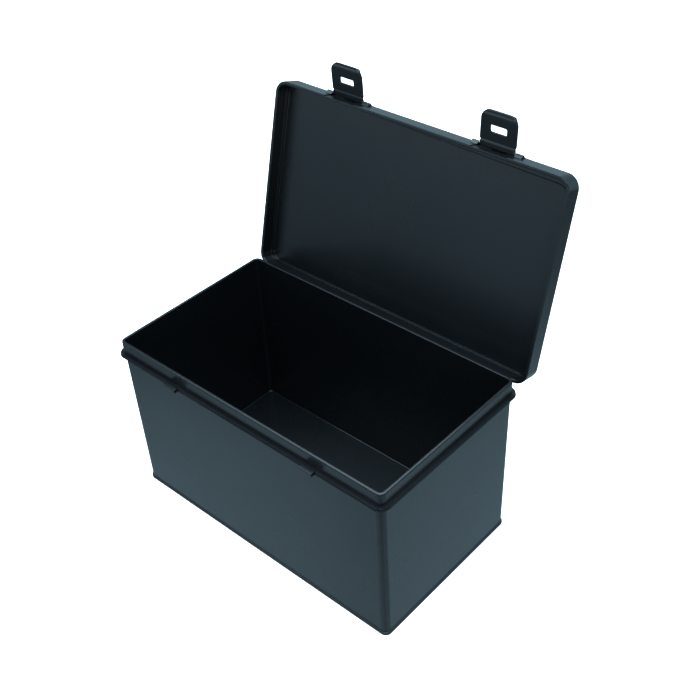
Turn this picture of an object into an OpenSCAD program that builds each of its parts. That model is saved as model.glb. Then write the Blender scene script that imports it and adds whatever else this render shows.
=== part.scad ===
// Storage box with a hinged lid and two swing latches, drawn with the lid open and the latches swung out.
// The origin is the middle of the base: X runs along the front, Y towards the hinges, Z up.

/* [Body] */
// Length of the body over its rim
body_l = 300; // [220:1:400]
// Width of the body over its rim, front to back
body_w = 169.8; // [120:0.1:260]
// Height of the body from its base to the top of its rim
body_h = 166; // [100:1:260]
// Thickness of the body's walls
wall_t = 2.6; // [1.8:0.1:4]
// Thickness of the floor
floor_t = 2.5; // [1.8:0.1:5]
// How far the lip above the flange stands out from the wall below it
lip_out = 0.65; // [0.2:0.05:1.2]
// How far the front and back walls draw in between the flange and the base
front_draft = 1.7; // [0.2:0.1:3]
// How far the two end walls draw in between the flange and the base
end_draft = 0.65; // [0.2:0.05:3]
// Outer corner radius of the body, seen from above
body_corner_r = 6; // [4:0.1:10]
// Height of the foot band round the base
foot_h = 3; // [1:0.1:8]
// How far the foot band stands out from the wall above it
foot_out = 0.9; // [0.3:0.1:2]

/* [Flange and catches] */
// Depth of the flange's flat top below the rim
flange_drop = 11.7; // [9:0.1:25]
// How far the flange's edge lies below its top
flange_fall = 1.9; // [1:0.1:3]
// How far the flange's side leans in between its edge and its top
flange_lean = 0.7; // [0.2:0.1:1.5]
// Thickness of the flange's edge
flange_t = 0.8; // [0.6:0.1:2]
// Height of the slope under the flange
flange_under = 4; // [2:0.1:8]
// How far the flange's edge lies inside the lid's outer face
flange_inset = 0.65; // [0:0.05:1]
// Corner radius of the flange, seen from above
flange_corner_r = 9.5; // [6:0.5:20]
// Width of each catch
catch_w = 14.2; // [8:0.1:20]
// Thickness of each catch
catch_t = 3.7; // [2:0.1:5]
// How far a catch stands out from the flange's edge
catch_out = 3.2; // [2.8:0.1:4]

/* [Lid] */
// Thickness of the lid's walls
lid_wall_t = 3; // [2:0.1:5]
// Thickness of the lid's top panel
lid_panel_t = 4.2; // [2:0.1:6]
// Gap between the rim and the lid's walls
lid_side_gap = 1.75; // [0.5:0.05:4]
// Gap between the flange and the edge of the closed lid
lid_edge_gap = 0.3; // [0.1:0.05:1]
// Gap between the rim and the ledge inside the closed lid
ledge_gap = 1.4; // [0.5:0.1:6]
// Width of the ledge inside the lid's front wall at its left end
ledge_left = 2.5; // [2:0.1:6]
// Width of the ledge inside the lid's front wall at its right end
ledge_right = 7.5; // [2:0.1:12]
// Width of the ledge inside the lid's two end walls
ledge_side = 3.6; // [2:0.1:10]
// Width of the ledge inside the lid's back wall
ledge_back = 0.8; // [0.5:0.1:10]
// Depth of the panel's inside beyond the ledge
panel_recess = 0.6; // [0.4:0.1:3]
// How far each lid wall draws in towards the top
lid_draft = 0.5; // [0.2:0.1:1.2]
// Size of the bevel round the lid's top edge
lid_bevel = 1; // [0.5:0.1:1.6]
// Corner radius of the lid, seen from above
lid_corner_r = 12; // [8:0.5:20]
// Angle of the open lid, from closed
lid_open_angle = 104.5; // [80:0.5:120]

/* [Hinges] */
// Distance of each hinge's middle from the body's end
hinge_in = 55; // [45:1:85]
// Distance of the hinge axis behind the lid's back wall
hinge_out = 1.1; // [0.8:0.05:3]
// Height of the hinge axis above the edge of the closed lid
hinge_up = -0.65; // [-1:0.05:1]
// Diameter of the hinge pins
hinge_pin_d = 2.4; // [1.6:0.1:3]
// Radius of the hinge knuckles
knuckle_r = 2.6; // [2.2:0.1:4]
// Length of the lid's knuckle
knuckle_l = 24; // [12:1:40]
// Length of each of the two body knuckles beside it
lug_l = 8; // [5:0.5:16]
// Reach of the open stop behind the hinge axis
stop_reach = 8; // [5:0.5:15]
// Height of the rib under each body knuckle
rib_h = 9; // [4:0.5:20]

/* [Latches] */
// Distance of each latch's middle from the body's end
latch_in = 71.2; // [55:0.1:95]
// Width of a latch plate
latch_w = 34.6; // [28:0.2:42]
// Thickness of a latch plate
latch_t = 2.1; // [1.5:0.1:3]
// Gap between the flange's edge and the closed latch
latch_gap = 0.35; // [0.3:0.05:0.8]
// Gap between the closed latch and the floor of its recess in the lid's front wall
recess_gap = 0.4; // [0.3:0.05:0.8]
// Distance of the latch pin in front of the lid's front wall
latch_pin_out = 1.2; // [1:0.1:2]
// Height of the latch pin above the edge of the closed lid
latch_pin_up = 12.4; // [11:0.1:12.6]
// Diameter of the latch pins
latch_pin_d = 1.6; // [1.2:0.1:1.8]
// Radius of the latch barrel
barrel_r = 1.7; // [1.5:0.05:1.9]
// Radius of the ears that hold the pin
ear_r = 1.3; // [1.2:0.05:1.6]
// How far the neck and barrel stay inside the plate's edge on each side
neck_in = 1; // [0.5:0.1:4]
// Length of the narrow neck below the pin
neck_l = 6; // [4:0.1:7]
// How far the neck swells towards the lid's wall beyond the plate
neck_rise = 1.3; // [0.8:0.05:1.4]
// Length of flat plate below the slot
plate_below = 7; // [5:0.1:12]
// Radius of the plate's two free corners, which run on into the finger lip
plate_corner_r = 8.4; // [5:0.1:11]
// Corner radius of the slot
slot_corner_r = 1.4; // [0.5:0.1:2]
// Room for the catch at each end of the slot
slot_end_gap = 0.85; // [0.4:0.05:2]
// Room for the catch above and below it in the slot
slot_side_gap = 1.15; // [1:0.05:2]
// How far the slot's middle lies below the middle of the catch in it
slot_low = 0.7; // [0:0.05:0.8]
// Inner radius of the bend of the finger lip
lip_bend_r = 5; // [2:0.1:8]
// Angle of the finger lip from the plate
lip_angle = 45; // [20:1:80]
// Width of each ear beside a latch
ear_w = 6.5; // [4:0.5:10]
// Half the height of an ear's foot on the lid's wall
ear_foot = 3.4; // [2.2:0.1:3.6]
// Gap between a latch plate and each ear
ear_gap = 0.6; // [0.3:0.1:1.5]
// Angle of the left latch in the open pose, from closed
latch_left_angle = 72; // [40:1:80]
// Angle of the right latch in the open pose, from closed
latch_right_angle = 78.5; // [40:0.5:80]
// Angle at which a latch comes to its open stop, from closed
latch_stop_angle = 84; // [82:1:95]
// Width of the heel that stops an open latch
heel_w = 14; // [8:1:24]
// Thickness of the heel
heel_t = 1.5; // [1:0.1:1.7]
// Reach of the heel beyond the pin
heel_reach = 3.2; // [2.6:0.1:3.6]

/* [Fits] */
// Radial clearance of a pin in the piece that turns on it
running_gap = 0.05; // [0.02:0.01:0.1]
// Radial clearance of a pin in the piece that holds it
holding_gap = 0.02; // [0.01:0.01:0.1]
// Gap between the ends of neighbouring knuckles
end_gap = 0.4; // [0.2:0.1:1]
// Room round a knuckle in the piece that it turns in
knuckle_room = 0.4; // [0.3:0.05:0.5]
// Gap between the lid or a latch and its open stop
stop_gap = 0.3; // [0.1:0.05:0.6]
// How far each pin ends inside its outermost knuckle
pin_inset = 0.5; // [0.2:0.1:2]

/* [Hidden] */
plastic = "#2b3238";
steel = "#b9bdc1";
curve_fn = 96;
hull_fn = 32;
// Thickness of the levels that the lid's outer shape is spanned between
slice = 0.01;
// Depth by which joined shapes run into each other
bite = 1;
half_l = body_l / 2;
half_w = body_w / 2;
wall_l = body_l - 2 * lip_out;
wall_w = body_w - 2 * lip_out;
base_l = wall_l - 2 * end_draft;
base_w = wall_w - 2 * front_draft;
inner_corner_r = max(body_corner_r - wall_t, 0.5);
lid_half_l = half_l + lid_side_gap + lid_wall_t;
lid_half_w = half_w + lid_side_gap + lid_wall_t;
flange_top = body_h - flange_drop;
flange_bottom = flange_top - flange_fall - flange_t;
flange_l = 2 * (lid_half_l - flange_inset);
flange_w = 2 * (lid_half_w - flange_inset);
lid_edge_z = flange_top + lid_edge_gap;
ledge_depth = body_h + ledge_gap - lid_edge_z;
tray_depth = ledge_depth + panel_recess;
lid_h = tray_depth + lid_panel_t;
hinge_x = half_l - hinge_in;
hinge_y = lid_half_w + hinge_out;
hinge_z = lid_edge_z + hinge_up;
hinge_l = knuckle_l + 2 * (end_gap + lug_l);
lug_x = (knuckle_l + lug_l) / 2 + end_gap;
latch_x = half_l - latch_in;
wall_in = lid_draft * latch_pin_up / (lid_h - lid_bevel);
latch_pin_y = -(lid_half_w - wall_in + latch_pin_out);
latch_pin_z = lid_edge_z + latch_pin_up;
ear_x = (latch_w + ear_w) / 2 + ear_gap;
latch_axle_l = latch_w + 2 * (ear_gap + ear_w) - 2 * pin_inset;
plate_inner = flange_inset + latch_pin_out - wall_in - latch_gap;
plate_outer = plate_inner - latch_t;
recess_in = plate_inner + recess_gap;
nose_y = plate_inner + neck_rise;
nose_z = 0.45 * neck_l;
slot_drop = latch_pin_z - (flange_top - catch_t / 2) + slot_low;
slot_l = catch_w + 2 * slot_end_gap;
slot_h = catch_t + 2 * slot_side_gap;
plate_end = slot_drop + slot_h / 2 + plate_below;
lip_end = plate_end + (lip_bend_r + latch_t) * sin(lip_angle);

// Rectangle with rounded corners about the origin
module rounded_rect(l, w, r, fn = curve_fn) {
    square([l - 2 * r, w], center = true);
    square([l, w - 2 * r], center = true);
    for (x = [-1, 1], y = [-1, 1]) {
        translate([x * (l / 2 - r), y * (w / 2 - r)]) circle(r = r, $fn = fn);
    }
}

module rounded_plate(l, w, r, h) {
    linear_extrude(h) rounded_rect(l, w, r);
}

// Upright block that widens evenly from one size at its base to another at its top
module drafted_block(base_l, base_w, top_l, top_w, r, h) {
    widening = [top_l / base_l, top_w / base_w];
    linear_extrude(h, scale = widening, slices = 1) rounded_rect(base_l, base_w, r, hull_fn);
}

// One thin level of the lid's outer shape
module level(l, w, r, z) {
    translate([0, 0, z]) linear_extrude(slice) rounded_rect(l, w, r, hull_fn);
}

module rod_x(r, l) {
    rotate([0, 90, 0]) cylinder(r = r, h = l, center = true, $fn = curve_fn);
}

// Extrudes a side outline, drawn as Y and Z, along X
module along_x(l) {
    rotate([90, 0, 90]) linear_extrude(l, center = true) children();
}

module at_hinge(x) {
    translate([x, hinge_y, hinge_z]) children();
}

module at_latch_pin(x) {
    translate([x, latch_pin_y, latch_pin_z]) children();
}

// Swings what is drawn on the closed lid to the open pose
module lid_open() {
    at_hinge(0) rotate([-lid_open_angle, 0, 0]) translate([0, -hinge_y, -hinge_z]) children();
}

// Outer form of the body: drafted wall, foot band, flange and lip
module body_form() {
    edge_l = flange_l - 0.1;
    edge_w = flange_w - 0.1;
    middle = flange_bottom + flange_t / 2;
    drafted_block(base_l, base_w, wall_l, wall_w, body_corner_r, flange_top - 1.3);
    rounded_plate(base_l + 2 * foot_out, base_w + 2 * foot_out, body_corner_r, foot_h);
    translate([0, 0, flange_bottom]) rounded_plate(flange_l, flange_w, flange_corner_r, flange_t);
    translate([0, 0, middle]) drafted_block(edge_l, edge_w,
        edge_l - 2 * flange_lean, edge_w - 2 * flange_lean, flange_corner_r, flange_top - middle);
    translate([0, 0, middle - flange_under]) drafted_block(wall_l - 1, wall_w - 1, edge_l, edge_w,
        flange_corner_r, flange_under);
    translate([0, 0, flange_bottom]) rounded_plate(body_l, body_w, body_corner_r, body_h - flange_bottom);
}

module cavity() {
    translate([0, 0, floor_t]) drafted_block(base_l - 2 * wall_t, base_w - 2 * wall_t,
        body_l - 2 * wall_t, body_w - 2 * wall_t, inner_corner_r, body_h - floor_t + bite);
}

module catch_tab() {
    reach = flange_w / 2 + catch_out;
    root = half_w - wall_t / 2;
    translate([-catch_w / 2, -reach, flange_top - catch_t]) cube([catch_w, reach - root, catch_t]);
}

// Body knuckle, with the stop that the open lid's back wall rests on
module lug() {
    root_y = half_w - wall_t / 2 - hinge_y;
    top_z = flange_top - hinge_z;
    low_z = flange_bottom - hinge_z;
    along_x(lug_l) {
        circle(r = knuckle_r, $fn = curve_fn);
        polygon([[root_y, top_z], [0, top_z], [0, low_z], [root_y, low_z - rib_h]]);
        rotate(-lid_open_angle) translate([stop_gap - hinge_out, 0])
            square([hinge_out - stop_gap + 0.85 * knuckle_r, stop_reach]);
    }
}

module body() {
    color(plastic) difference() {
        union() {
            body_form();
            for (side = [-1, 1]) {
                translate([side * latch_x, 0, 0]) catch_tab();
                for (end = [-1, 1]) at_hinge(side * hinge_x + end * lug_x) lug();
            }
        }
        cavity();
        for (side = [-1, 1]) {
            at_hinge(side * hinge_x) rod_x(knuckle_r + knuckle_room, knuckle_l + end_gap);
            at_hinge(side * hinge_x) rod_x(hinge_pin_d / 2 + holding_gap, hinge_l + 2 * bite);
        }
    }
}

module lid_shell() {
    bevel_l = 2 * (lid_half_l - lid_draft);
    bevel_w = 2 * (lid_half_w - lid_draft);
    difference() {
        hull() {
            level(2 * lid_half_l, 2 * lid_half_w, lid_corner_r, 0);
            level(bevel_l, bevel_w, lid_corner_r, lid_h - lid_bevel);
            level(bevel_l - 2 * lid_bevel, bevel_w - 2 * lid_bevel, lid_corner_r - lid_bevel, lid_h - slice);
        }
        translate([0, 0, -bite]) rounded_plate(2 * (half_l + lid_side_gap), 2 * (half_w + lid_side_gap),
            lid_corner_r - lid_wall_t, ledge_depth + bite);
        panel_step();
    }
}

// Deeper middle of the lid's tray, whose front edge runs slightly out of line with the front wall
module panel_step() {
    room_w = 2 * (half_w + lid_side_gap);
    front = min(ledge_left, ledge_right) - 0.5;
    slant = atan((ledge_right - ledge_left) / body_l);
    intersection() {
        translate([0, (front - ledge_back) / 2, -bite]) rounded_plate(
            2 * (half_l + lid_side_gap - ledge_side), room_w - front - ledge_back,
            lid_corner_r - lid_wall_t, tray_depth + bite);
        translate([0, (ledge_left + ledge_right - room_w) / 2, 0]) rotate([0, 0, slant])
            translate([-body_l, 0, -2 * bite]) cube([2 * body_l, 2 * body_w, tray_depth + 3 * bite]);
    }
}

// Lid knuckle, with the web that carries it on the back wall
module lid_knuckle() {
    rod_x(knuckle_r, knuckle_l);
    along_x(knuckle_l) polygon([
        [-hinge_out - bite, -hinge_up],
        [knuckle_r * cos(30), knuckle_r * sin(30)],
        [-hinge_out, 3 * knuckle_r],
        [-hinge_out - bite, 3 * knuckle_r],
    ]);
}

// Low ear that holds one end of a latch pin
module ear() {
    along_x(ear_w) {
        circle(r = ear_r, $fn = curve_fn);
        polygon([
            [latch_pin_out + bite, -ear_foot],
            [latch_pin_out, -ear_foot],
            [-ear_r * cos(30), -ear_r * sin(30)],
            [-ear_r * cos(30), ear_r * sin(30)],
            [latch_pin_out, ear_foot],
            [latch_pin_out + bite, ear_foot],
        ]);
    }
}

// Recess in the lid's front wall for a closed latch, with room for its barrel
module latch_recess() {
    along_x(latch_w + 2 * ear_gap) {
        circle(r = barrel_r + knuckle_room, $fn = curve_fn);
        polygon([
            [-bite, -latch_pin_up - bite],
            [recess_in, -latch_pin_up - bite],
            [recess_in, -neck_l - 1],
            [nose_y + recess_gap, -nose_z - 0.7],
            [nose_y + recess_gap, 0],
            [-bite, 0],
        ]);
    }
}

module lid() {
    color(plastic) lid_open() difference() {
        union() {
            translate([0, 0, lid_edge_z]) lid_shell();
            for (side = [-1, 1]) {
                at_hinge(side * hinge_x) lid_knuckle();
                for (end = [-1, 1]) at_latch_pin(side * latch_x + end * ear_x) ear();
            }
        }
        for (side = [-1, 1]) {
            at_latch_pin(side * latch_x) latch_recess();
            at_hinge(side * hinge_x) rod_x(hinge_pin_d / 2 + running_gap, knuckle_l + 2 * bite);
            for (end = [-1, 1]) {
                at_hinge(side * hinge_x + end * lug_x) rod_x(knuckle_r + knuckle_room, lug_l + end_gap);
                at_latch_pin(side * latch_x + end * ear_x)
                    rod_x(latch_pin_d / 2 + holding_gap, ear_w + 2 * bite);
            }
        }
    }
}

// Front outline of the latch plate with its two rounded free corners, drawn as X and the height above the pin
module plate_outline() {
    side_l = lip_end - plate_corner_r - neck_l;
    translate([-latch_w / 2, -neck_l - side_l]) square([latch_w, side_l]);
    translate([plate_corner_r - latch_w / 2, -lip_end]) square([latch_w - 2 * plate_corner_r, side_l]);
    for (x = [-1, 1]) {
        translate([x * (latch_w / 2 - plate_corner_r), plate_corner_r - lip_end])
            circle(r = plate_corner_r, $fn = curve_fn);
    }
}

// Finger lip that curves outwards from the end of the plate
module finger_lip() {
    far = 2 * (lip_bend_r + latch_t);
    translate([0, plate_outer - lip_bend_r, -plate_end]) intersection() {
        rotate([0, 90, 0]) difference() {
            cylinder(r = lip_bend_r + latch_t, h = latch_w, center = true, $fn = curve_fn);
            cylinder(r = lip_bend_r, h = latch_w + 2 * bite, center = true, $fn = curve_fn);
        }
        along_x(latch_w + bite) polygon([[0, bite / 4], [far, bite / 4], [far, 0],
            [far * cos(lip_angle), -far * sin(lip_angle)], [0, 0]]);
    }
}

// Plate and finger lip before their corners are rounded
module bent_plate() {
    translate([-latch_w / 2, plate_outer, -plate_end]) cube([latch_w, latch_t, plate_end - neck_l]);
    finger_lip();
}

// Barrel with the neck that carries the plate
module barrel() {
    along_x(latch_w - 2 * neck_in) {
        circle(r = barrel_r, $fn = curve_fn);
        polygon([
            [plate_inner - 0.3, -neck_l - bite],
            [plate_inner - 0.1, -neck_l],
            [nose_y, -nose_z],
            [barrel_r * cos(20), -barrel_r * sin(20)],
            [-barrel_r * cos(10), barrel_r * sin(10)],
            [plate_outer + 0.1, -neck_l],
            [plate_outer + 0.3, -neck_l - bite],
        ]);
    }
}

// Heel whose face meets the lid's front wall at the open stop
module heel() {
    face = latch_pin_out - stop_gap;
    rotate([latch_stop_angle, 0, 0]) translate([-heel_w / 2, face - heel_t, barrel_r * 0.65])
        cube([heel_w, heel_t, heel_reach - barrel_r * 0.65]);
}

// Latch about its pin, hanging as it does when closed
module latch() {
    color(plastic) difference() {
        union() {
            barrel();
            heel();
            intersection() {
                bent_plate();
                rotate([90, 0, 0]) linear_extrude(4 * latch_w, center = true) plate_outline();
            }
        }
        rod_x(latch_pin_d / 2 + running_gap, latch_w + 2 * bite);
        translate([0, plate_inner + bite, -slot_drop]) rotate([90, 0, 0])
            rounded_plate(slot_l, slot_h, slot_corner_r, latch_t + 2 * bite);
    }
}

module open_latch(side, angle) {
    lid_open() at_latch_pin(side * latch_x) rotate([-angle, 0, 0]) latch();
}

module latch_left() {
    open_latch(-1, latch_left_angle);
}

module latch_right() {
    open_latch(1, latch_right_angle);
}

module latch_pin(side) {
    color(steel) lid_open() at_latch_pin(side * latch_x) rod_x(latch_pin_d / 2, latch_axle_l);
}

module latch_pin_left() {
    latch_pin(-1);
}

module latch_pin_right() {
    latch_pin(1);
}

module hinge_pin(side) {
    color(steel) at_hinge(side * hinge_x) rod_x(hinge_pin_d / 2, hinge_l - 2 * pin_inset);
}

module hinge_pin_left() {
    hinge_pin(-1);
}

module hinge_pin_right() {
    hinge_pin(1);
}

body();
lid();
latch_left();
latch_right();
latch_pin_left();
latch_pin_right();
hinge_pin_left();
hinge_pin_right();
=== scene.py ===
import math

import bmesh
import bpy
from mathutils import Matrix, Vector


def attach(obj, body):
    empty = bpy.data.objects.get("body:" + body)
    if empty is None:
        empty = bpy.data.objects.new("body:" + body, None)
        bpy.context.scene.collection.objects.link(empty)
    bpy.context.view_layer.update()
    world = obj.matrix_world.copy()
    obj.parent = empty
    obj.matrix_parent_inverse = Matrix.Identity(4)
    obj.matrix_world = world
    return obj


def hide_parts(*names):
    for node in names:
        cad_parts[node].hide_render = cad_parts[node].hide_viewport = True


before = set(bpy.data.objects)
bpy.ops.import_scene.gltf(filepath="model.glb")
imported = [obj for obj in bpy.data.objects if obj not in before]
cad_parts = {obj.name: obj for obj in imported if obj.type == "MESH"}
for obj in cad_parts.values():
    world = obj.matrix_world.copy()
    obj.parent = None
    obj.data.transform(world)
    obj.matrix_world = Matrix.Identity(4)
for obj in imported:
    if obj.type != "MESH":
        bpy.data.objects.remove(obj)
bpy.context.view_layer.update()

# Sizes in millimetres, as in the part's source. X runs along the front, Y towards the hinges, Z up.
# Body: half lengths and half widths at the rim, at the wall's top and at the base
BODY_HALF = (150.0, 84.9)
WALL_HALF = (149.35, 84.25)
BASE_HALF = (148.7, 82.55)
BODY_H, WALL_T, FLOOR_T = 166.0, 2.6, 2.5
BODY_R, INNER_R = 6.0, 3.4
FOOT_OUT, FOOT_H = 0.9, 3.0

# Flange: flat top with a bevelled edge, side leaning in, slope underneath
FLANGE_HALF = (154.1, 89.0)
FLANGE_TOP, FLANGE_BOTTOM = 154.3, 151.6
FLANGE_IN, FLANGE_LEAN, FLANGE_T, FLANGE_UNDER = 0.6, 0.4, 0.8, 4.0
FLANGE_INSET = 0.65
BEVEL_IN, BEVEL_DOWN = 0.9, 0.74
FLANGE_RADII = (9.5, 9.2, 7.6)
WALL_TOP = FLANGE_TOP - 1.3

# Catches on the front flange
TAB_L, TAB_H, TAB_OUT, TAB_ABOVE = 14.2, 3.7, 3.2, 0.1

# Lid, with a ledge round its inner panel
LID_HALF = (154.75, 89.65)
LID_EDGE_Z = 154.6
LID_H, LID_WALL_T = 17.6, 3.0
LID_LEAN, LID_BEVEL = 0.5, 1.0
LID_R, LID_INNER_R = 12.0, 9.0
LEDGE, PANEL_STEP = 11.7, 1.7
PANEL_IN, PANEL_SHIFT, PANEL_SLANT = (6.6, 5.9), 2.1, 2.5
LID_OPEN = 104.5

# Hinges, with open stops on the lugs
HINGE_X, HINGE_Y, HINGE_Z = 95.0, 90.75, 153.95
KNUCKLE_R, KNUCKLE_L, LUG_L, LUG_X = 2.6, 24.0, 8.0, 16.4
KNUCKLE_BORE_R, LUG_BORE_R = 1.25, 1.22
STOP_BACK, STOP_FRONT, STOP_L = 0.8, 0.85 * KNUCKLE_R, 8.0
RIB_DROP = 9.0
TURN_GAP = 0.4

# Latches, each on a pin between two ears
LATCH_X, LATCH_W = 78.8, 34.6
PIN_OUT, PIN_UP = 1.2, 12.4
WALL_IN = LID_LEAN * PIN_UP / (LID_H - LID_BEVEL)
PIN_Y, PIN_Z = WALL_IN - LID_HALF[1] - PIN_OUT, LID_EDGE_Z + PIN_UP
BARREL_R, BARREL_BORE_R = 1.7, 0.85
EAR_R, EAR_BORE_R, EAR_W, EAR_FOOT, EAR_GAP = 1.3, 0.82, 6.5, 3.4, 0.6
LATCH_ANGLES = {"latch_left": 72.0, "latch_right": 78.5}
LATCH_STOP = 84.0
HEEL_W, HEEL_T, HEEL_OUT, HEEL_GAP = 14.0, 1.5, 3.2, 0.3
PLATE_T, PLATE_GAP, NECK_L = 2.1, 0.35, 4.6
PLATE_IN = FLANGE_INSET + PIN_OUT - WALL_IN - PLATE_GAP
NOSE_Y, NOSE_Z = PLATE_IN + 0.8, 2.7
SLOT_H, SLOT_L, SLOT_R, SLOT_PLAY = 6.0, 15.9, 1.4, 0.7
SLOT_DROP = PIN_Z - (FLANGE_TOP - TAB_H / 2) + SLOT_PLAY
PLATE_END = SLOT_DROP + SLOT_H / 2 + 7.0
CORNER_R, LIP_R, LIP_ANGLE = 8.4, 5.0, 45.0
LIP_END = PLATE_END + (LIP_R + PLATE_T) * math.sin(math.radians(LIP_ANGLE))

# Steps round a corner and round a softened bend
CORNER_STEPS = 14
SOFT_STEPS = 5

AT_HINGE = Matrix.Translation((0, HINGE_Y, HINGE_Z))
OPEN_LID = AT_HINGE @ Matrix.Rotation(math.radians(-LID_OPEN), 4, "X") @ AT_HINGE.inverted()


# Meshes

def ring(hx, hy, r, z, shift=0.0, slant=0.0):
    """Points of a rounded rectangle at height z, moved in Y by shift, its front edge slanted by slant."""
    points = []
    for sx, sy, start in ((1, 1, 0), (-1, 1, 90), (-1, -1, 180), (1, -1, 270)):
        for i in range(CORNER_STEPS + 1):
            a = math.radians(start + 90 * i / CORNER_STEPS)
            x, y = sx * (hx - r) + r * math.cos(a), sy * (hy - r) + r * math.sin(a) + shift
            points.append((x, y + (slant * x / hx if sy < 0 else 0), z))
    return points


def softened(profile):
    """Rounds each bend of a profile.

    A row is half length, half width, corner radius, height, softness, and then shift and slant or neither.
    """
    rows = [Vector((*p[:4], *(p[5:] or (0, 0)))) for p in profile]
    out = [rows[0]]
    for i in range(1, len(rows) - 1):
        soft = profile[i][4]
        here = rows[i]
        if not soft:
            out.append(here)
            continue
        ends = []
        for other in (rows[i - 1], rows[i + 1]):
            step = other - here
            length = max(math.hypot(step[0], step[3]), 1e-6)
            ends.append(here + step * min(0.48, soft / length))
        for k in range(SOFT_STEPS + 1):
            t = k / SOFT_STEPS
            out.append(ends[0] * (1 - t) ** 2 + here * 2 * t * (1 - t) + ends[1] * t * t)
    out.append(rows[-1])
    return out


def finish_mesh(name, bm):
    bmesh.ops.recalc_face_normals(bm, faces=bm.faces)
    mesh = bpy.data.meshes.new(name)
    bm.to_mesh(mesh)
    bm.free()
    obj = bpy.data.objects.new(name, mesh)
    bpy.context.scene.collection.objects.link(obj)
    return obj


def loft(name, profile):
    """Closed mesh through the rounded rectangles of a softened profile."""
    bm = bmesh.new()
    rows = [[bm.verts.new(p) for p in ring(*level)] for level in softened(profile)]
    count = len(rows[0])
    for low, high in zip(rows, rows[1:]):
        for i in range(count):
            j = (i + 1) % count
            bm.faces.new((low[i], low[j], high[j], high[i]))
    bm.faces.new(rows[0])
    bm.faces.new(rows[-1])
    return finish_mesh(name, bm)


def prism_x(name, outline, x, length):
    """Prism along X of an outline of (y, z) points, its middle at x."""
    bm = bmesh.new()
    near = [bm.verts.new((x - length / 2, y, z)) for y, z in outline]
    far = [bm.verts.new((x + length / 2, y, z)) for y, z in outline]
    bm.faces.new(near)
    bm.faces.new(far)
    for i in range(len(near)):
        j = (i + 1) % len(near)
        bm.faces.new((near[i], near[j], far[j], far[i]))
    return finish_mesh(name, bm)


def circle(y, z, r, steps=48):
    return [(y + r * math.cos(math.tau * (i + 0.5) / steps), z + r * math.sin(math.tau * (i + 0.5) / steps))
            for i in range(steps)]


def turned(points, degrees, y, z):
    c, s = math.cos(math.radians(degrees)), math.sin(math.radians(degrees))
    return [(y + c * p - s * q, z + s * p + c * q) for p, q in points]


def apply_modifiers(obj):
    graph = bpy.context.evaluated_depsgraph_get()
    mesh = bpy.data.meshes.new_from_object(obj.evaluated_get(graph))
    obj.modifiers.clear()
    obj.data = mesh


def combine(obj, other, operation):
    """Joins other to obj, or cuts it out."""
    mod = obj.modifiers.new("combine", "BOOLEAN")
    mod.operation = operation
    mod.object = other
    mod.solver = "EXACT"
    apply_modifiers(obj)
    bpy.data.objects.remove(other)


def soften_edges(obj, width, angle=35, segments=2):
    mod = obj.modifiers.new("soften", "BEVEL")
    mod.width = width
    mod.segments = segments
    mod.limit_method = "ANGLE"
    mod.angle_limit = math.radians(angle)
    mod.miter_outer = "MITER_ARC"
    apply_modifiers(obj)


def add_to(obj, other):
    """Puts other's faces into obj's mesh as a shell of their own."""
    bm = bmesh.new()
    bm.from_mesh(obj.data)
    bm.from_mesh(other.data)
    bm.to_mesh(obj.data)
    bm.free()
    bpy.data.objects.remove(other)


def place(obj, matrix=Matrix.Identity(4), sharp=38):
    """Moves a mesh drawn in millimetres to its place in metres, and shades it."""
    obj.data.transform(Matrix.Scale(0.001, 4) @ matrix)
    obj.data.polygons.foreach_set("use_smooth", [True] * len(obj.data.polygons))
    obj.data.set_sharp_from_angle(angle=math.radians(sharp))
    mod = obj.modifiers.new("even shading", "WEIGHTED_NORMAL")
    mod.keep_sharp = True
    mod.weight = 60
    return obj


def inset(half, by):
    return [h - by for h in half]


def wall_half(z):
    t = z / WALL_TOP
    return [b + (w - b) * t for b, w in zip(BASE_HALF, WALL_HALF)]


def inner_half(z):
    t = (z - FLOOR_T) / (BODY_H + 1 - FLOOR_T)
    return [b - WALL_T + (w - b) * t for b, w in zip(BASE_HALF, BODY_HALF)]


# Body

foot = inset(BASE_HALF, -FOOT_OUT)
flange_foot = inset(FLANGE_HALF, FLANGE_IN)
slope_foot = FLANGE_BOTTOM + FLANGE_T / 2 - FLANGE_UNDER
body = loft("body_shell", [
    (*inset(foot, 4), 3.0, 0, 0),
    (*foot, BODY_R, 0, 0.5),
    (*foot, BODY_R, FOOT_H, 0.8),
    (*wall_half(FOOT_H), BODY_R, FOOT_H, 0.4),
    (*wall_half(slope_foot), BODY_R, slope_foot, 0.8),
    (*flange_foot, FLANGE_RADII[0], FLANGE_BOTTOM, 0),
    (*inset(flange_foot, FLANGE_LEAN), FLANGE_RADII[1], FLANGE_TOP - BEVEL_DOWN, 0),
    (*inset(flange_foot, FLANGE_LEAN + BEVEL_IN), FLANGE_RADII[2], FLANGE_TOP, 0),
    (*BODY_HALF, BODY_R, FLANGE_TOP, 0),
    (*BODY_HALF, BODY_R, BODY_H, 1.2),
    (*inner_half(BODY_H), INNER_R, BODY_H, 0.5),
    (*inner_half(FLOOR_T), INNER_R, FLOOR_T, 0.9),
    (*inset(inner_half(FLOOR_T), 6), 1.0, FLOOR_T, 0),
])
turning = circle(HINGE_Y, HINGE_Z, KNUCKLE_R + TURN_GAP)
for side in (-1, 1):
    combine(body, prism_x("notch", turning, side * HINGE_X, KNUCKLE_L + TURN_GAP), "DIFFERENCE")
root = BODY_HALF[1] - WALL_T / 2
reach = FLANGE_HALF[1] + TAB_OUT
tab_outline = [(-root, FLANGE_TOP - TAB_H), (-root, FLANGE_TOP + TAB_ABOVE),
               (-reach, FLANGE_TOP + TAB_ABOVE), (-reach, FLANGE_TOP - TAB_H)]
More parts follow.
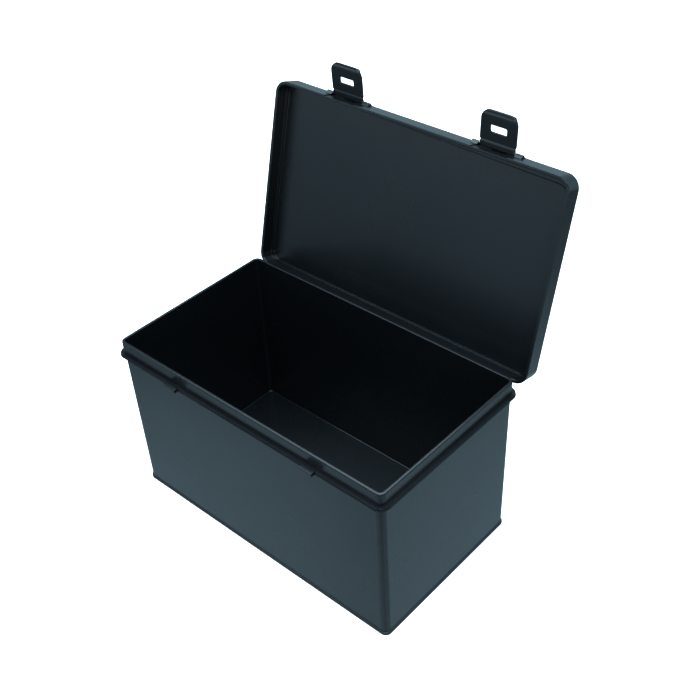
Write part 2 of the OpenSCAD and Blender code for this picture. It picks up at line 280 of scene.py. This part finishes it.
rib_outline = [(root, FLANGE_TOP), (HINGE_Y, FLANGE_TOP), (HINGE_Y, FLANGE_BOTTOM),
               (root, FLANGE_BOTTOM - RIB_DROP)]
stop_outline = turned([(-STOP_BACK, 0), (STOP_FRONT, 0), (STOP_FRONT, STOP_L), (-STOP_BACK, STOP_L)],
                      -LID_OPEN, HINGE_Y, HINGE_Z)
for side in (-1, 1):
    tab = prism_x("tab", tab_outline, side * LATCH_X, TAB_L)
    soften_edges(tab, 0.55, segments=3)
    add_to(body, tab)
    for end in (-1, 1):
        x = side * HINGE_X + end * LUG_X
        lug = prism_x("lug", circle(HINGE_Y, HINGE_Z, KNUCKLE_R), x, LUG_L)
        combine(lug, prism_x("rib", rib_outline, x, LUG_L), "UNION")
        combine(lug, prism_x("stop", stop_outline, x, LUG_L), "UNION")
        combine(lug, prism_x("bore", circle(HINGE_Y, HINGE_Z, LUG_BORE_R), x, LUG_L + 2), "DIFFERENCE")
        soften_edges(lug, 0.25)
        add_to(body, lug)
place(body, sharp=24)

# Lid, drawn closed and then swung open

lid_inner = inset(LID_HALF, LID_WALL_T)
panel = [h - p for h, p in zip(LID_HALF, PANEL_IN)]
lid_top, ledge_z = LID_EDGE_Z + LID_H, LID_EDGE_Z + LEDGE
panel_z = ledge_z + PANEL_STEP
lid = loft("lid_shell", [
    (*inset(LID_HALF, 9), 6, lid_top, 0),
    (*inset(LID_HALF, LID_LEAN + LID_BEVEL), 11, lid_top, 0.7),
    (*inset(LID_HALF, LID_LEAN), LID_R, lid_top - LID_BEVEL, 0.7),
    (*LID_HALF, LID_R, LID_EDGE_Z, 0.5),
    (*lid_inner, LID_INNER_R, LID_EDGE_Z, 0.9),
    (*lid_inner, LID_INNER_R, ledge_z, 0.5),
    (*panel, LID_INNER_R, ledge_z, 0.6, PANEL_SHIFT, PANEL_SLANT),
    (*panel, LID_INNER_R, panel_z, 0.12, PANEL_SHIFT, PANEL_SLANT),
    (*inset(LID_HALF, 16), 6, panel_z, 0),
])
room = LATCH_W + 2 * EAR_GAP
outside, deep, deepest = PIN_Y - 4, PIN_Y + PLATE_IN + TURN_GAP, PIN_Y + NOSE_Y + TURN_GAP
pocket = [(outside, LID_EDGE_Z - 1), (deep, LID_EDGE_Z - 1), (deep, PIN_Z - NECK_L - 1),
          (deepest, PIN_Z - NOSE_Z - 0.7), (deepest, PIN_Z), (outside, PIN_Z)]
for side in (-1, 1):
    for end in (-1, 1):
        combine(lid, prism_x("notch", turning, side * HINGE_X + end * LUG_X, LUG_L + TURN_GAP), "DIFFERENCE")
    groove = prism_x("groove", circle(PIN_Y, PIN_Z, BARREL_R + TURN_GAP), side * LATCH_X, room)
    combine(lid, groove, "DIFFERENCE")
    combine(lid, prism_x("pocket", pocket, side * LATCH_X, room), "DIFFERENCE")
back = LID_HALF[1]
tip = (HINGE_Y + KNUCKLE_R * math.cos(math.pi / 6), HINGE_Z + KNUCKLE_R * math.sin(math.pi / 6))
web_top = HINGE_Z + 3 * KNUCKLE_R
web_outline = [(back - 1, LID_EDGE_Z), tip, (back, web_top), (back - 1, web_top)]
wall = PIN_Y + PIN_OUT
ear_y, ear_z = EAR_R * math.cos(math.pi / 6), EAR_R * math.sin(math.pi / 6)
ear_outline = [(wall + 1, PIN_Z - EAR_FOOT), (wall, PIN_Z - EAR_FOOT), (PIN_Y - ear_y, PIN_Z - ear_z),
               (PIN_Y - ear_y, PIN_Z + ear_z), (wall, PIN_Z + EAR_FOOT), (wall + 1, PIN_Z + EAR_FOOT)]
for side in (-1, 1):
    x = side * HINGE_X
    knuckle = prism_x("knuckle", circle(HINGE_Y, HINGE_Z, KNUCKLE_R), x, KNUCKLE_L)
    combine(knuckle, prism_x("web", web_outline, x, KNUCKLE_L), "UNION")
    bore = prism_x("bore", circle(HINGE_Y, HINGE_Z, KNUCKLE_BORE_R), x, KNUCKLE_L + 2)
    combine(knuckle, bore, "DIFFERENCE")
    soften_edges(knuckle, 0.25)
    add_to(lid, knuckle)
    for end in (-1, 1):
        x = side * LATCH_X + end * ((LATCH_W + EAR_W) / 2 + EAR_GAP)
        ear = prism_x("ear", circle(PIN_Y, PIN_Z, EAR_R), x, EAR_W)
        combine(ear, prism_x("ear_foot", ear_outline, x, EAR_W), "UNION")
        combine(ear, prism_x("bore", circle(PIN_Y, PIN_Z, EAR_BORE_R), x, EAR_W + 2), "DIFFERENCE")
        soften_edges(ear, 0.3)
        add_to(lid, ear)
place(lid, OPEN_LID)

# Latches, drawn hanging from the pin and then swung open

def latch_shape(name):
    """Plate with slot and free corners that run on into a finger lip curving outwards, and its barrel."""
    half = LATCH_W / 2
    middle_r = LIP_R + PLATE_T
    arc = math.radians(LIP_ANGLE) * middle_r
    straight = LIP_END - CORNER_R
    path = [NECK_L, SLOT_DROP, straight] + [straight + (PLATE_END - straight) * (i + 1) / 5 for i in range(5)]
    path += [PLATE_END + arc * (i + 1) / 14 for i in range(14)]

    def half_width(drop):
        over = min(max(drop - straight, 0), CORNER_R)
        return half - CORNER_R + math.sqrt(max(CORNER_R ** 2 - over ** 2, 0))

    bm = bmesh.new()
    skins = []
    for depth in (0.0, PLATE_T):
        skin = []
        for s in path:
            over = max(s - PLATE_END, 0) / middle_r
            r = LIP_R + PLATE_T - depth
            y = PLATE_IN - PLATE_T - LIP_R + r * math.cos(over)
            drop = min(s, PLATE_END) + r * math.sin(over)
            w = half_width(drop)
            skin.append([bm.verts.new((x * w, y, -drop)) for x in (-1, -0.5, 0, 0.5, 1)])
        skins.append(skin)
    for skin in skins:
        for a, b in zip(skin, skin[1:]):
            for k in range(4):
                bm.faces.new((a[k], a[k + 1], b[k + 1], b[k]))
    front, back = skins
    for a, b, c, d in zip(front, front[1:], back, back[1:]):
        bm.faces.new((a[0], b[0], d[0], c[0]))
        bm.faces.new((a[4], c[4], d[4], b[4]))
    for row in (0, -1):
        for k in range(4):
            bm.faces.new((front[row][k], front[row][k + 1], back[row][k + 1], back[row][k]))
    latch = finish_mesh(name, bm)
    slot_bm = bmesh.new()
    corner = []
    for sx, sz, start in ((1, 1, 0), (-1, 1, 90), (-1, -1, 180), (1, -1, 270)):
        for i in range(7):
            a = math.radians(start + 15 * i)
            corner.append((sx * (SLOT_L / 2 - SLOT_R) + SLOT_R * math.cos(a),
                           -SLOT_DROP + sz * (SLOT_H / 2 - SLOT_R) + SLOT_R * math.sin(a)))
    near = [slot_bm.verts.new((x, PLATE_IN + 1, z)) for x, z in corner]
    far = [slot_bm.verts.new((x, PLATE_IN - PLATE_T - 1, z)) for x, z in corner]
    slot_bm.faces.new(near)
    slot_bm.faces.new(far)
    for i in range(len(near)):
        j = (i + 1) % len(near)
        slot_bm.faces.new((near[i], near[j], far[j], far[i]))
    combine(latch, finish_mesh("slot", slot_bm), "DIFFERENCE")
    soften_edges(latch, 0.35, angle=40)
    barrel = prism_x("barrel", circle(0, 0, BARREL_R), 0, LATCH_W - 2)
    low, out = math.radians(20), math.radians(10)
    outer = PLATE_IN - PLATE_T
    neck = [(PLATE_IN - 0.3, -NECK_L - 1), (PLATE_IN - 0.1, -NECK_L), (NOSE_Y, -NOSE_Z),
            (BARREL_R * math.cos(low), -BARREL_R * math.sin(low)),
            (-BARREL_R * math.cos(out), BARREL_R * math.sin(out)),
            (outer + 0.1, -NECK_L), (outer + 0.3, -NECK_L - 1)]
    combine(barrel, prism_x("neck", neck, 0, LATCH_W - 2), "UNION")
    face, start = PIN_OUT - HEEL_GAP, BARREL_R * 0.65
    heel = [(face - HEEL_T, start), (face, start), (face, HEEL_OUT), (face - HEEL_T, HEEL_OUT)]
    combine(barrel, prism_x("heel", turned(heel, LATCH_STOP, 0, 0), 0, HEEL_W), "UNION")
    combine(barrel, prism_x("bore", circle(0, 0, BARREL_BORE_R), 0, LATCH_W), "DIFFERENCE")
    soften_edges(barrel, 0.2)
    add_to(latch, barrel)
    return latch


latches = {}
for name, side in (("latch_left", -1), ("latch_right", 1)):
    latch = latch_shape(name + "_plate")
    at_pin = Matrix.Translation((side * LATCH_X, PIN_Y, PIN_Z))
    place(latch, OPEN_LID @ at_pin @ Matrix.Rotation(math.radians(-LATCH_ANGLES[name]), 4, "X"))
    latches[name] = latch


# Materials

def principled(name):
    mat = bpy.data.materials.new(name)
    mat.use_nodes = True
    nodes = mat.node_tree.nodes
    return mat, nodes, mat.node_tree.links, nodes["Principled BSDF"]


def noise(nodes, links, coords, scale, detail=4.0):
    tex = nodes.new("ShaderNodeTexNoise")
    tex.inputs["Scale"].default_value = scale
    tex.inputs["Detail"].default_value = detail
    links.new(coords.outputs["Object"], tex.inputs["Vector"])
    return tex


def ramp(nodes, links, source, low, high, a=0.3, b=0.7):
    node = nodes.new("ShaderNodeValToRGB")
    node.color_ramp.elements[0].position = a
    node.color_ramp.elements[1].position = b
    node.color_ramp.elements[0].color = (*low, 1)
    node.color_ramp.elements[1].color = (*high, 1)
    links.new(source, node.inputs["Fac"])
    return node


def plastic_material(name, rough_low, rough_high, level):
    """Blue-black half-gloss moulded plastic with a faint unevenness."""
    mat, nodes, links, shader = principled(name)
    coords = nodes.new("ShaderNodeTexCoord")
    cloud = noise(nodes, links, coords, 9.0, 2.0)
    colour = ramp(nodes, links, cloud.outputs["Fac"], (0.0036, 0.0042, 0.0052), (0.0043, 0.0051, 0.0062))
    links.new(colour.outputs["Color"], shader.inputs["Base Color"])
    smear = noise(nodes, links, coords, 12.0, 2.0)
    rough = nodes.new("ShaderNodeMapRange")
    rough.inputs["From Min"].default_value = 0.3
    rough.inputs["From Max"].default_value = 0.7
    rough.inputs["To Min"].default_value = rough_low
    rough.inputs["To Max"].default_value = rough_high
    links.new(smear.outputs["Fac"], rough.inputs["Value"])
    links.new(rough.outputs["Result"], shader.inputs["Roughness"])
    grain = noise(nodes, links, coords, 900.0, 1.0)
    bump = nodes.new("ShaderNodeBump")
    bump.inputs["Strength"].default_value = 0.02
    bump.inputs["Distance"].default_value = 0.0001
    links.new(grain.outputs["Fac"], bump.inputs["Height"])
    links.new(bump.outputs["Normal"], shader.inputs["Normal"])
    shader.inputs["IOR"].default_value = 1.5
    shader.inputs["Specular IOR Level"].default_value = level
    return mat


def steel_material():
    mat, nodes, links, shader = principled("pin_steel")
    coords = nodes.new("ShaderNodeTexCoord")
    streak = noise(nodes, links, coords, 400.0, 3.0)
    colour = ramp(nodes, links, streak.outputs["Fac"], (0.42, 0.43, 0.44), (0.56, 0.57, 0.58))
    links.new(colour.outputs["Color"], shader.inputs["Base Color"])
    rough = ramp(nodes, links, streak.outputs["Fac"], (0.28,) * 3, (0.4,) * 3)
    links.new(rough.outputs["Color"], shader.inputs["Roughness"])
    shader.inputs["Metallic"].default_value = 1.0
    return mat


plastic = plastic_material("black_plastic", 0.25, 0.28, 0.5)
latch_plastic = plastic_material("latch_plastic", 0.27, 0.3, 0.5)
steel = steel_material()


def dress(obj, material):
    obj.data.materials.clear()
    obj.data.materials.append(material)


for obj, owner, node in ((body, "box", "body"), (lid, "lid", "lid"),
                         (latches["latch_left"], "latch_left", "latch_left"),
                         (latches["latch_right"], "latch_right", "latch_right")):
    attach(obj, owner)
    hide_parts(node)
    small = node.startswith("latch")
    dress(obj, latch_plastic if small else plastic)
for name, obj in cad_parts.items():
    pin = "pin" in name
    obj.data.materials.clear()
    obj.data.materials.append(steel if pin else plastic)

# Stage

scene = bpy.context.scene
scene.view_settings.view_transform = "Standard"
scene.view_settings.look = "None"
floor_mesh = bpy.data.meshes.new("floor")
floor_mesh.from_pydata([(-6, -6, 0), (6, -6, 0), (6, 6, 0), (-6, 6, 0)], [], [(0, 1, 2, 3)])
floor = bpy.data.objects.new("floor", floor_mesh)
scene.collection.objects.link(floor)
floor_mat, nodes, links, shader = principled("floor_white")
coords = nodes.new("ShaderNodeTexCoord")
mottle = noise(nodes, links, coords, 3.0, 2.0)
tone = ramp(nodes, links, mottle.outputs["Fac"], (0.88,) * 3, (0.9,) * 3)
links.new(tone.outputs["Color"], shader.inputs["Base Color"])
shader.inputs["Roughness"].default_value = 0.9
shader.inputs["Specular IOR Level"].default_value = 0.0
shader.inputs["Emission Color"].default_value = (1, 1, 1, 1)
shader.inputs["Emission Strength"].default_value = 1.05
floor.data.materials.append(floor_mat)
floor.visible_glossy = False


def set_stops(node, stops, tint):
    """Gives a colour ramp its stops, each a place from -1 to 1 and a level."""
    elements = node.color_ramp.elements
    elements.remove(elements[0])
    for i, (place_on, level) in enumerate(stops):
        stop = elements[0] if i == 0 else elements.new((place_on + 1) / 2)
        stop.position = (place_on + 1) / 2
        stop.color = (*(level * c for c in tint), 1)


# Surroundings: a bright sheet right below, dim further out, pale walls at the horizon, dark above them
world = bpy.data.worlds.new("studio")
scene.world = world
world.use_nodes = True
wn, wl = world.node_tree.nodes, world.node_tree.links
wc = wn.new("ShaderNodeTexCoord")
sep = wn.new("ShaderNodeSeparateXYZ")
wl.new(wc.outputs["Generated"], sep.inputs["Vector"])
height = wn.new("ShaderNodeMapRange")
height.inputs["From Min"].default_value = -1.0
height.inputs["From Max"].default_value = 1.0
wl.new(sep.outputs["Z"], height.inputs["Value"])
grade = wn.new("ShaderNodeValToRGB")
LEVELS = ((-1.0, 0.5), (-0.8, 0.55), (-0.76, 0.6), (-0.68, 0.63), (-0.64, 0.5), (-0.6, 0.26), (-0.55, 0.19),
          (-0.48, 0.12), (-0.35, 0.14), (-0.2, 0.55), (-0.15, 0.4), (-0.08, 0.6), (0.06, 0.62), (0.2, 0.45),
          (0.4, 0.18), (0.6, 0.12), (1.0, 0.12))
set_stops(grade, LEVELS, (0.64, 1, 1.2))
wl.new(height.outputs["Result"], grade.inputs["Fac"])
# Dim upright strips in them, which the flange and the rounded corners mirror
facing = wn.new("ShaderNodeVectorMath")
facing.operation = "DOT_PRODUCT"
facing.inputs[1].default_value = (0.62, -0.78, 0)
wl.new(wc.outputs["Generated"], facing.inputs[0])
across = wn.new("ShaderNodeMapRange")
across.inputs["From Min"].default_value = -1.0
across.inputs["From Max"].default_value = 1.0
wl.new(facing.outputs["Value"], across.inputs["Value"])
shade = wn.new("ShaderNodeValToRGB")
SHADES = ((-1.0, 1.0), (0.12, 1.0), (0.19, 0.34), (0.27, 0.46), (0.35, 1.05), (0.44, 1.15), (0.55, 0.8),
          (0.75, 0.4), (1.0, 0.4))
set_stops(shade, SHADES, (1, 1, 1))
wl.new(across.outputs["Result"], shade.inputs["Fac"])
wl.new(shade.outputs["Color"], wn["Background"].inputs["Strength"])
wl.new(grade.outputs["Color"], wn["Background"].inputs["Color"])


def area_light(name, at, towards, size, power, colour=(1, 1, 1)):
    data = bpy.data.lights.new(name, "AREA")
    data.shape = "ELLIPSE"
    data.size, data.size_y = size
    data.energy = power
    data.color = colour
    obj = bpy.data.objects.new(name, data)
    obj.location = at
    obj.rotation_euler = (Vector(towards) - Vector(at)).to_track_quat("-Z", "Y").to_euler()
    scene.collection.objects.link(obj)


area_light("top_soft", (0, 0, 2.6), (0, 0, 0), (4.2, 4.2), 190, (0.74, 1.0, 1.15))
area_light("front_low", (-1.56, -1.95, 0.65), (0, 0, 0.32), (1.8, 0.5), 4.0, (0.8, 1.0, 1.12))
area_light("viewer_low", (1.5, -1.6, 0.6), (0, 0, 0.25), (1.2, 0.9), 10, (0.85, 1.0, 1.1))

# Camera, at the photograph's place

CAMERA_AT = (0.51049, -0.4920, 0.72643)
CAMERA_TOWARDS = (-0.5407, 0.5737, -0.6152)
CAMERA_ROLL = 3.05
camera_data = bpy.data.cameras.new("camera")
camera_data.sensor_width = 36.0
camera_data.lens = 54.99
camera_data.clip_end = 50
camera = bpy.data.objects.new("camera", camera_data)
forward = Vector(CAMERA_TOWARDS).normalized()
flat_right = forward.cross(Vector((0, 0, 1))).normalized()
flat_down = forward.cross(flat_right).normalized()
roll = math.radians(CAMERA_ROLL)
right = flat_right * math.cos(roll) + flat_down * math.sin(roll)
down = -flat_right * math.sin(roll) + flat_down * math.cos(roll)
rows = [(right[i], -down[i], -forward[i], CAMERA_AT[i]) for i in range(3)]
camera.matrix_world = Matrix((*rows, (0, 0, 0, 1)))
scene.collection.objects.link(camera)
scene.camera = camera

bpy.context.view_layer.update()
